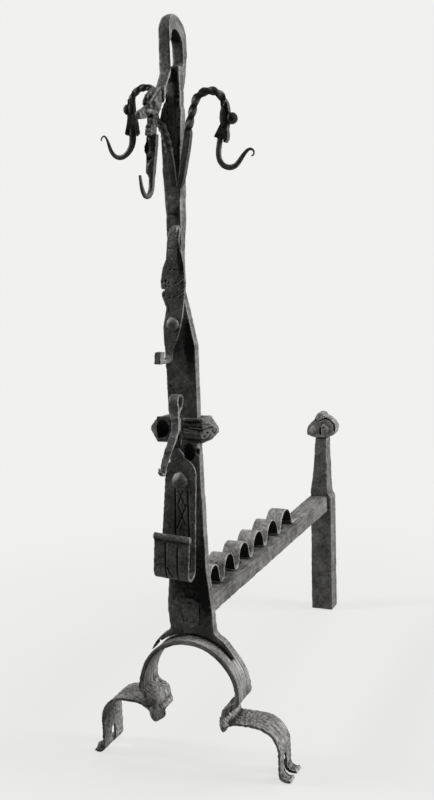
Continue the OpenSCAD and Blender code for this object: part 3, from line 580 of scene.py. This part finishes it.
# The hollow in the left half, and the gap behind the handle
hollows = bmesh.new()
lump(hollows, (-24.5, -12, 421.5), (8.4, 11, 11), 15)
block(hollows, (-5.5, -9, 417), (13, 14, 32), 3)
band_face, point_face = (-14, 2), (-14, 6)
marks = [(0, 430.5, 24, 431, 1.4, 1.2, *band_face), (0, 425.5, 12, 423, 1.5, 1.5, *band_face),
         (12, 423, 26, 421.3, 1.5, 1.6, *band_face), (22, 420.6, 40, 426, 1.2, 1.2, *point_face),
         (25, 428, 41, 429.5, 1.0, 0.7, *point_face), (-44, 414, -30, 411, 1.2, 1.0, *point_face),
         (28, 407, 33, 413, 1.0, 0.8, *point_face)]
dots = [(36.5, 420), (38.3, 418), (31.5, 418.5), (34, 414.5), (28.5, 414), (30, 434)]
marks += [(x, z, x, z, 1.5, 1.3, *point_face) for x, z in dots]
# Painted shade in the hollow of the left half, in the gap behind the handle and under both points;
# painted light on the right point
painted_light_and_shade = [((-24.5, -13, 421.5), (11, 14, 14), -1), ((-4, -12, 420), (7, 14, 20), -1),
          ((62, -40, 425), (46, 60, 40), 0.8),
          ((35, -6, 408), (16, 16, 6), -0.7), ((-36, -6, 408), (16, 16, 6), -0.7)]
collar = new_piece("forged_collar", bm)
hammer(collar, voxel=0.8, soften=3, dents=1.0, lay=lay_across, hollows=hollows, marks=marks,
       streaks=0.5, painted_light_and_shade=painted_light_and_shade, seed=29)
done(collar, ("collar",), black_iron)

# ---- Lower hook ----
# An iron strap riveted to the post, cut with two lines and a lattice between them and turned up
# into a trough with a rolled lip. Its top is drawn out into a handle that steps round the collar
# and folds forward; the limb that hangs in front is broad above and ends in a small curl.


def handle_shape(mm):
    """Broad at the fold, narrow where it passes the collar and at its hanging end"""
    out = mm.copy()
    x, y, z = mm.T
    middle = -6 + (z - 359) * 0.07
    front = (y < -21) & (z > 370)
    behind = ~front & (z > 392)
    broad = np.where(front, np.interp(z, (378, 388, 405, 432, 446, 462),
                                      (0.7, 1.0, 1.2, 1.2, 1.35, 1.4)),
                     np.interp(z, (392, 400, 450, 462), (1, 0.75, 0.78, 1.4)))
    shift = np.interp(z, (378, 385, 411, 441, 465), (3.2, 1.8, 1.8, -1.0, -0.6))
    limb_low, slab = 372, 6
    level = np.clip((z[front] - limb_low) // slab, 0, 14).astype(int)
    levels = np.unique(level)
    limb_y = [y[front][level == i].mean() for i in levels]
    limb = np.interp(z, limb_low + slab / 2 + slab * levels, limb_y)
    thick = np.interp(z, (400, 420, 440, 452), (1, 1.6, 1.6, 1))
    out[:, 1] = np.where(front, limb + (y - limb) * thick, y)
    moved = middle + (x - middle) * broad + np.where(front, shift,
                                                     np.interp(z, (392, 465), (0, -0.8)))
    out[:, 0] = np.where(front | behind, moved, x)
    sway = np.clip((-24 - y) / 5, 0, 1) * np.interp(z, (388, 402, 417, 426, 436, 447, 464),
                                                    (0, 1.5, 5, 7, 6.5, 3.5, 0))
    out[:, 0] += sway
    out[:, 1] += 1.2 * sway
    return out


strap_face, trough_face = (-8, 1), (-40, -18)
marks = [(-13.3, 349, -15.6, 252, 1.6, 1.5, *strap_face), (3.2, 347, 3, 252, 1.5, 1.4, *strap_face),
         (-19.5, 288, -20.2, 240, 1.5, 1.4, *trough_face),
         (-4, 282, -5, 240, 1.6, 1.5, *trough_face),
         (-17.4, 256, -11.5, 243, 1.2, 1.1, *trough_face),
         (-3.6, 346, -10.3, 329, 1.2, 1.3, *strap_face), (-9, 346, -1, 329, 1.1, 0.9, *strap_face),
         (-10.3, 328, -0.9, 304, 1.2, 1.3, *strap_face),
         (0.6, 329, -12.3, 300, 1.2, 1.3, *strap_face)]
# Painted shade in the trough, right of the rivet, below the rolled lip and down the strap; painted
# highlights on the handle's front and along the top of the rolled lip
painted_light_and_shade = [((-6, -14, 262), (40, 10, 30), -0.9), ((3, -11, 350), (13, 8, 12), -0.5),
          ((0, -100, 425), (40, 66, 60), 0.8), ((-8, -80, 297), (40, 50, 10), 0.7),
          ((-8, -90, 258), (44, 80, 32), -0.8), ((-6, -20, 310), (34, 26, 70), -0.35)]
bm = shapes_of("lower_hook")
handle_curl = (-13.6, -51, 379)
lump(bm, handle_curl, (4.4, 4.6, 5))
lower_hook = new_piece("forged_lower_hook", bm)
hammer(lower_hook, voxel=0.85, soften=2, dents=0.7, shape=handle_shape, marks=marks,
       streaks=0.45, painted_light_and_shade=painted_light_and_shade, seed=32)
done(lower_hook, ("lower_hook",), black_iron, "lower_swivel")

# ---- Upper hook ----
# A leaf of thinner iron, riveted to the post above the lower hook, punched in three rows and cut
# with slanting lines. Its tongue is folded over and its foot is turned forward into a small
# square-ended hook.


def tongue_shape(mm):
    """The folded tongue broadens towards its fold and hangs lower in front"""
    out = mm.copy()
    x, y, z = mm.T
    middle = -13 + (z - 547) * 0.087
    front = (y < -7.2) & (z > 615)
    out[:, 2] = np.where(front & (z < 652), 652 - (652 - z) * 1.5, z)
    z = out[:, 2]
    broad = np.where(front, np.interp(z, (618, 634, 648, 656, 661), (0.9, 1.0, 1.2, 1.0, 0.6)),
                     np.interp(z, (636, 648, 656, 661), (1, 1.1, 1.0, 0.6)))
    shift = np.interp(z, (618, 634, 648, 661), (1.6, 1.9, 3.1, 5)) * np.where(
        front, 1, np.clip((z - 625) / 20, 0, 1))
    tongue = front | (z > 634)
    out[:, 0] = np.where(tongue, middle + (x - middle) * broad + shift, x)
    return out


leaf_face, tongue_face = (-7.5, 0), (-25, -7.5)
dots = [(-8.4, 610.4), (-3, 610.3), (7.7, 609.9), (-19.1, 596), (-14.5, 597.5), (-11.3, 595),
        (-2.9, 594.7), (6.3, 594.5), (-10.5, 577.5), (-5.6, 577.4), (3, 577.2), (-18.5, 580)]
marks = [(x, z, x, z, 1.6, 1.4, *leaf_face) for x, z in dots]
marks += [(-1.5, 594, 10.5, 602.5, 0.9, 1.0, *leaf_face),
          (-1.5, 597, 10.5, 606, 0.7, 0.6, *leaf_face),
          (-1.1, 579.3, 10, 587.4, 0.9, 1.0, *leaf_face),
          (-1.5, 582.5, 9.8, 590.4, 0.7, 0.6, *leaf_face),
          (-8.6, 634, 1.5, 633.8, 1.2, 1.2, *tongue_face),
          (-9, 622.5, -3.5, 622.2, 1.0, 0.9, *tongue_face),
          (-16.5, 600, -14.5, 590, 0.8, 0.6, *leaf_face), (-14, 572, -11, 562, 0.8, 0.5, *leaf_face)]
hollows = bmesh.new()
block(hollows, (-20, -3, 586.8), (5.5, 12, 1.8), 3)
# Painted light on the folded tongue, the hook's lower part and the end of its small hook; painted
# shadow beside the tongue and below the rivet
painted_light_and_shade = [((-3, -40, 642), (22, 42, 30), 1.1), ((6, -13, 626), (8, 13, 33), -2.5),
          ((-8, -26, 520), (16, 30, 26), 1.3), ((-24, -60, 512), (20, 40, 20), 1.2),
          ((1, -12, 538), (9, 10, 9), -0.9)]
upper_hook = new_piece("forged_upper_hook", shapes_of("upper_hook"))
hammer(upper_hook, voxel=0.75, soften=2, dents=0.5, shape=tongue_shape, hollows=hollows,
       marks=marks, streaks=0.35, painted_light_and_shade=painted_light_and_shade, seed=35)
done(upper_hook, ("upper_hook",), black_iron, "upper_swivel")

# ---- Rivets ----
# Round-headed iron rivets that hold the two hooks to the post and let them turn stiffly. Their
# heads are rubbed brighter than the straps.

for name, seed, centre, radii in (("lower_rivet", 38, (-6, -4, 359), (10.8, 8, 10.8)),
                                  ("upper_rivet", 41, (-8, -4, 547), (8.6, 7, 8.6))):
    bm = shapes_of(name)
    lump(bm, centre, radii)
    x, y, z = centre
    # Painted highlight on each head's upper left and painted shade on its lower right
    painted_light_and_shade = [((x - 9, y - 12, z + 9), (11, 18, 11), 1.3),
              ((x + 4, y - 17, z - 5), (20, 24, 16), -0.75)]
    rivet = new_piece("forged_" + name, bm)
    hammer(rivet, voxel=0.7, soften=3, dents=0.6, streaks=0.1, painted_light_and_shade=painted_light_and_shade, seed=seed)
    done(rivet, (name,), rubbed_iron)

# ---- Side arms ----
# Square iron bars lapped on the post's face and twisted. The right one rises straight into its
# arch; the left one crosses the face, kinks at the post's left edge and passes behind the front
# head.

arm_y = -3.4


def smooth_line(points, step):
    """Even steps of so many millimetres along a smooth line through the points"""
    p = np.array(points, dtype=float)
    p = np.concatenate(([2 * p[0] - p[1]], p, [2 * p[-1] - p[-2]]))
    fine = []
    for a, b, c, d in zip(p, p[1:], p[2:], p[3:]):
        for t in np.linspace(0, 1, 12, endpoint=False):
            fine.append(0.5 * (2 * b + (c - a) * t + (2 * a - 5 * b + 4 * c - d) * t * t
                               + (3 * b - a - 3 * c + d) * t ** 3))
    fine = np.array(fine + [p[-2]])
    length = np.concatenate(([0], np.cumsum(np.linalg.norm(np.diff(fine[:, :3], axis=0), axis=1))))
    wanted = np.linspace(0, length[-1], max(3, round(length[-1] / step)))
    return np.stack([np.interp(wanted, length, column) for column in fine.T], axis=1)


def arch_points(centre_x, centre_z, r, first, last):
    """Points of x and z along an arc, from the first angle down to the last"""
    return [(centre_x + r * math.cos(math.radians(a)), centre_z + r * math.sin(math.radians(a)))
            for a in range(first, last, -20)]


def lay_along(line):
    """Distance along a line of points, for pieces that follow one"""
    step = np.linalg.norm(line[1][:3] - line[0][:3])

    def lay(mm):
        away = np.linalg.norm(mm[:, None, [0, 2]] - line[None, :, [0, 2]], axis=2)
        near = away.argmin(axis=1)
        off = mm - line[near][:, :3]
        return np.stack((off[:, 0] + off[:, 2], near * step, off[:, 1]), axis=1)
    return lay


def arm(name, node, side, points, twist_from, per_turn):
    """A bar along the points, twisted once in so many millimetres where it is clear of its lap"""
    step, face_edge = 1.3, 24
    line = smooth_line([(side * x, arm_y, z, d) for x, z, d in points], step)
    turns, angle = [], 0.0
    for p in line:
        started = abs(p[0]) > face_edge or p[2] > twist_from
        angle += 2 * math.pi * step / per_turn if started else 0
        turns.append(side * angle)
    bm = bmesh.new()
    bar_along(bm, line, 4, turns)
    piece = new_piece(name, bm)
    hammer(piece, voxel=0.62, soften=2, dents=0.4, lay=lay_along(line), streaks=0.3, seed=44)
    done(piece, (node,), sooty_iron)


arm("twisted_right_arm", "right_arm", 1,
    [(6, 702, 5.4), (9.5, 712, 7.4), (14.5, 735, 8.6), (19, 758, 8.8), (21, 772, 8.2)]
    + [(x, z, 7.9) for x, z in arch_points(46, 788, 19, 150, 0)] + [(64.8, 786, 8)],
    twist_from=765, per_turn=52)
arm("twisted_left_arm", "left_arm", -1,
    [(0.5, 704, 5.6), (2.5, 722, 7.4), (4.5, 740, 8), (8, 757, 8.4), (12.5, 771, 8.4),
     (17.5, 777.5, 8), (21, 782, 7.4), (19.5, 792, 7), (16.5, 803, 7)]
    + [(x, z, 7) for x, z in arch_points(33.5, 800, 18, 140, 0)] + [(51, 798, 7.4)],
    twist_from=744, per_turn=34)

# ---- Side hooks ----
# Round iron hooks, forged thin and drawn out to a fine curl at the end. Each is held fast in the
# mouth of the serpent above it.

side_hooks = (
    ("drawn_right_hook", "right_hook", 1,
     [(59.5, 760, 6.4), (58.2, 754, 6.8), (57, 747.5, 6.8), (55.9, 741, 6.8), (55.9, 734, 6.8),
      (58, 728, 6.8), (62.2, 723.6, 6.8), (68.5, 721.3, 6.7), (75, 722.6, 6.4), (79.8, 726.8, 6),
      (84, 732, 5.4), (88, 736.6, 4.7), (91.6, 739.2, 4), (94.8, 739.6, 3.3), (97.4, 737.6, 2.8),
      (98, 735, 2.5), (96.8, 732.8, 2.3), (94.4, 731.9, 2.1)]),
    ("drawn_left_hook", "left_hook", -1,
     [(51.5, 776, 8), (51, 770, 8.6), (51.2, 762, 8.4), (52.7, 754.5, 7.6), (57, 747.8, 6.8),
      (63, 743.3, 6.3), (68.7, 741.9, 6), (74.4, 743.7, 5.6), (78.7, 748, 5.2), (81.4, 753.6, 4.6),
      (83.4, 759.7, 3.8), (85.5, 764.9, 3), (88.2, 768.1, 2.5), (90.9, 767.4, 2.2), (92.5, 765, 2),
      (92.4, 762.6, 1.9)]))
for name, node, side, points in side_hooks:
    line = smooth_line([(side * x, arm_y, z, d + 0.5) for x, z, d in points], 1)
    bm = bmesh.new()
    bar_along(bm, line)
    hook = new_piece(name, bm)
    hammer(hook, voxel=0.5, soften=1, dents=0.35, lay=lay_along(line), streaks=0.25, seed=47)
    done(hook, (node,), sooty_iron)

# ---- Serpent heads ----
# Small heads filed up at the ends of the iron arms: a knob for the ear, and two jaws parted on
# the hook, the mouth between them darkened with painted shade.

heads = (
    ("carved_right_head", "right_head", 1,
     [(61.5, 793), (62.8, 783), (62, 776), (60, 770), (57.5, 765.5), (53.6, 759.5), (51.6, 755.5),
      (54.5, 754), (58, 756.5), (61.3, 758.7), (62.6, 751), (63, 748.4), (66, 748.2),
      (68.4, 751.5), (69.4, 756), (68.7, 763), (69.4, 768), (71, 780), (70.5, 787), (69, 793)],
     ((73.2, 774.5), (6.6, 8, 7)), ((64.5, 776), (6.5, 6.5, 15)), ((58.2, 750), (3.2, 4, 6)),
     ((61.2, 749), (0.9, 7, 4))),
    ("carved_left_head", "left_head", -1,
     [(47.2, 807), (46.4, 793), (44.3, 781), (42.7, 767.5), (45, 766), (46.8, 763.8),
      (48.5, 768), (51.9, 776), (55.5, 766.6), (58, 766), (59.7, 768), (56.8, 778.5),
      (55.6, 785), (55.5, 793), (54.4, 802), (54.2, 807)],
     ((56.2, 795.5), (5.4, 6, 6.6)), ((50.6, 795), (5.2, 6, 9)), ((51.2, 766), (4.4, 5, 9.5)),
     ((46.8, 766), (1.0, 9, 6))))
for name, node, side, outline, ear, cheek, mouth, slit in heads:
    bm = bmesh.new()
    plate(bm, [(side * x, z) for x, z in outline], arm_y, 9)
    for (x, z), radii in (ear, cheek):
        lump(bm, (side * x, arm_y, z), radii)
    hollows = bmesh.new()
    for (x, z), radii in (mouth, slit):
        lump(hollows, (side * x, arm_y - 6, z), radii)
    (x, z), radii = mouth
    # Painted shade in the mouth and on the outer side of the head and its ear; the head's front is
    # also made darker
    painted_light_and_shade = [((side * x, arm_y - 6, z), (radii[0] + 4, 9, radii[2] + 5), -0.9),
              ((side * 66, -20, 778), (30, 40, 50), -0.5),
              ((side * 92, -16, 778), (24, 26, 20), -2)]
    head = new_piece(name, bm)
    hammer(head, voxel=0.55, soften=2, dents=0.4, hollows=hollows, streaks=0.3, painted_light_and_shade=painted_light_and_shade,
           seed=50)
    done(head, (node,), sooty_iron)

# ---- Front head ----
# A beast's head in profile, forged of iron and welded to the neck: a crest laid back over the
# skull, a ridge above a deep eye, a long snout ringed at its end, an open mouth and a jaw cut
# with teeth.

head_x = -2.5
skull = [(-28, 799), (-32, 811), (-38, 811), (-45, 808.5), (-53, 802), (-59, 795), (-64, 788),
         (-62, 783), (-55, 778), (-47, 780), (-40, 784), (-33, 790)]
snout = [(-50, 797), (-60, 790.5), (-66, 787), (-74, 783), (-83, 779), (-87, 776), (-87, 771),
         (-82, 768.5), (-72, 770.5), (-60, 776), (-50, 780)]
jaw = [(-44, 786), (-52, 780), (-58, 774), (-62, 768.5), (-62, 763), (-65, 755), (-57, 753.5),
       (-49, 751), (-47, 762), (-42, 775), (-38, 784)]
bm = bmesh.new()
for outline, thick in ((skull, 10), (snout, 6.5), (jaw, 9)):
    plate(bm, outline, head_x, thick, "YZ")
lump(bm, (head_x, -47, 794), (6.2, 13, 11))
lump(bm, (head_x, -84, 773.7), (4.6, 3.6, 5.2))
lump(bm, (head_x, -76.5, 776.5), (4.4, 3, 5))
for side in (-1, 1):
    brow = [(head_x + side * 4.4, -36, 810, 4), (head_x + side * 5.2, -48, 803, 5),
            (head_x + side * 5, -58, 795, 4.4), (head_x + side * 4, -66, 787, 3)]
    bar_along(bm, smooth_line(brow, 1.5))
    lump(bm, (head_x + side * 3.6, -62, 780), (3, 9, 4))
    lump(bm, (head_x + side * 3.6, -41, 790), (3, 7, 8))
hollows = bmesh.new()
for side in (-1, 1):
    lump(hollows, (head_x + side * 6.8, -54, 788.5), (3.6, 4, 3.8))
    lump(hollows, (head_x + side * 6.5, -62, 771.5), (4.6, 5.5, 6.5), side * 10)
jaw_face = (-70, -58)
marks = [(-9, z, 4, z, 1.1, 0.6, *jaw_face) for z in (759, 764, 769)]
# Painted shade in the eyes and the open mouth; the jaw and the whole head are also made darker
painted_light_and_shade = [((head_x + side * 8, y, z), radii, amount) for side in (-1, 1)
          for y, z, radii, amount in ((-54, 788.5, (9, 6, 6), -1), (-62, 771.5, (9, 8, 9), -1),
                                      (-50, 764, (12, 30, 26), -0.45),
                                      (-50, 790, (12, 60, 40), -0.2))]
front_head = new_piece("carved_front_head", bm)
hammer(front_head, voxel=0.6, soften=2, dents=1.1, hollows=hollows, marks=marks, streaks=0.5,
       painted_light_and_shade=painted_light_and_shade, seed=56)
done(front_head, ("front_head",), black_iron)

# ---- Front hook ----
# One iron rod fixed below the jaw of the front head, forged to a hollow leaf, a ring and a
# swelling, then drawn down to a round bar that is bent forward and up.

hook_x, hook_y = -3, -56
leaf = [(-5.5, 757), (-10.9, 745), (-10.6, 740), (-8.3, 735.5), (-8, 733), (-8.4, 726),
        (-9.3, 716), (-6.5, 711), (0, 710), (1.6, 718), (2.6, 727.5), (4.1, 737), (5.5, 746),
        (6, 757)]
shank = [(-56, 728, 8), (-56, 716, 8.2), (-57, 704, 8), (-60, 696, 7.8), (-65, 690.9, 7.4),
         (-71, 689.2, 7), (-77, 691, 6.5), (-81.5, 696.5, 5.8), (-84, 704, 5), (-85.5, 711.5, 4.2)]
bm = bmesh.new()
plate(bm, leaf, hook_y, 8)
lump(bm, (hook_x + 1, hook_y, 746), (6, 5.5, 11), -6)
lump(bm, (hook_x, hook_y - 0.5, 721.5), (5.2, 5.2, 8), -5)
bar_along(bm, smooth_line([(hook_x, y, z, d) for y, z, d in shank], 1.2))
# The hollow of the leaf, the groove below it and a notch at the swelling's lower left
hollows = bmesh.new()
lump(hollows, (hook_x - 4, -61.5, 744.5), (5, 5.5, 9), -8)
lump(hollows, (hook_x - 0.5, -62, 730.8), (3.6, 4, 1.2), -8)
lump(hollows, (hook_x - 6, -60, 712), (2.4, 4, 2.4))
# Painted shade in the leaf's hollow, the groove below it and the notch
painted_light_and_shade = [((hook_x - 4, -64, 744.5), (8, 9, 12), -1), ((hook_x - 1, -63, 731), (6, 7, 3), -1),
          ((hook_x - 5, -62, 712), (4, 6, 4), -0.8)]
front_hook = new_piece("drawn_front_hook", bm)
hammer(front_hook, voxel=0.55, soften=5, dents=0.5, hollows=hollows, streaks=0.3, painted_light_and_shade=painted_light_and_shade,
       seed=59)
done(front_hook, ("front_hook",), sooty_iron)

# ---- Studio ----
# A pale floor that fades into the backdrop, and three broad soft lamps. The camera gives the
# photograph's own view, with its slight lean.

floor_bm = bmesh.new()
bmesh.ops.create_circle(floor_bm, cap_ends=True, segments=96, radius=6)
floor = new_piece("studio_floor", floor_bm)
pale = bpy.data.materials.new("pale_floor")
pale.use_nodes = True
pale.node_tree.nodes.clear()
pin = Pin(pale.node_tree)
backdrop = (0.88, 0.88, 0.866, 1)
place = pin.node("ShaderNodeTexCoord", output="Object")
reach = pin.node("ShaderNodeVectorMath", {0: place}, output="Value", operation="LENGTH")
camera_ray = pin.node("ShaderNodeLightPath", output="Is Camera Ray")
faded = reach.between(0.3, 1.1)
matt = pin.node("ShaderNodeBsdfDiffuse", {"Color": (0.3, 0.298, 0.292, 1)})
glow = pin.node("ShaderNodeEmission", {"Color": backdrop, "Strength": 1.13 - faded * 0.13})
seen = pin.node("ShaderNodeMixShader", {0: (faded * 0.3 + 0.7) * camera_ray, 1: matt, 2: glow})
pin.node("ShaderNodeOutputMaterial", {"Surface": seen})
floor.data.materials.append(pale)

world = bpy.data.worlds.new("studio")
bpy.context.scene.world = world
world.use_nodes = True
world.node_tree.nodes.clear()
pin = Pin(world.node_tree)
camera_ray = pin.node("ShaderNodeLightPath", output="Is Camera Ray")
fill = pin.node("ShaderNodeBackground", {"Color": (0.95, 0.97, 1, 1), "Strength": 0.045})
plain = pin.node("ShaderNodeBackground", {"Color": backdrop, "Strength": 1.0})
mixed = pin.node("ShaderNodeMixShader", {0: camera_ray, 1: fill, 2: plain})
pin.node("ShaderNodeOutputWorld", {"Surface": mixed})


def lamp(name, place, aim, size, power):
    """A soft square lamp at a place, turned to where it is aimed"""
    light = bpy.data.lights.new(name, "AREA")
    light.shape = "RECTANGLE"
    light.size, light.size_y, light.energy = size[0], size[1], power
    holder = bpy.data.objects.new(name, light)
    holder.location = place
    holder.rotation_mode = "QUATERNION"
    holder.rotation_quaternion = (Vector(aim) - Vector(place)).to_track_quat("-Z", "Y")
    bpy.context.scene.collection.objects.link(holder)


lamp("key_from_right", (2.4, 0.6, 1.3), (0, 0, 0.45), (1.1, 1.8), 112)
lamp("rim_from_left", (-1.9, -0.6, 1.95), (0, 0, 0.5), (0.5, 0.5), 50)
lamp("top", (0.3, 0.9, 2.8), (0, 0, 0.3), (1.4, 1.4), 36)

photo_camera = bpy.data.objects.new("camera", bpy.data.cameras.new("camera"))
bpy.context.scene.collection.objects.link(photo_camera)
bpy.context.scene.camera = photo_camera
azimuth, elevation, roll = math.radians(22.26), math.radians(7.503), math.radians(1.775)
back = Vector((math.sin(azimuth) * math.cos(elevation), -math.cos(azimuth) * math.cos(elevation),
               math.sin(elevation)))
photo_camera.location = at(460.9, -1020.6, 602.4)
photo_camera.rotation_mode = "QUATERNION"
photo_camera.rotation_quaternion = ((-back).to_track_quat("-Z", "Y")
                                    @ Matrix.Rotation(-roll, 3, "Z").to_quaternion())
photo_camera.data.lens = 42.74
photo_camera.data.sensor_width = 36
photo_camera.data.clip_start = 0.05
bpy.context.scene.view_settings.view_transform = "Standard"
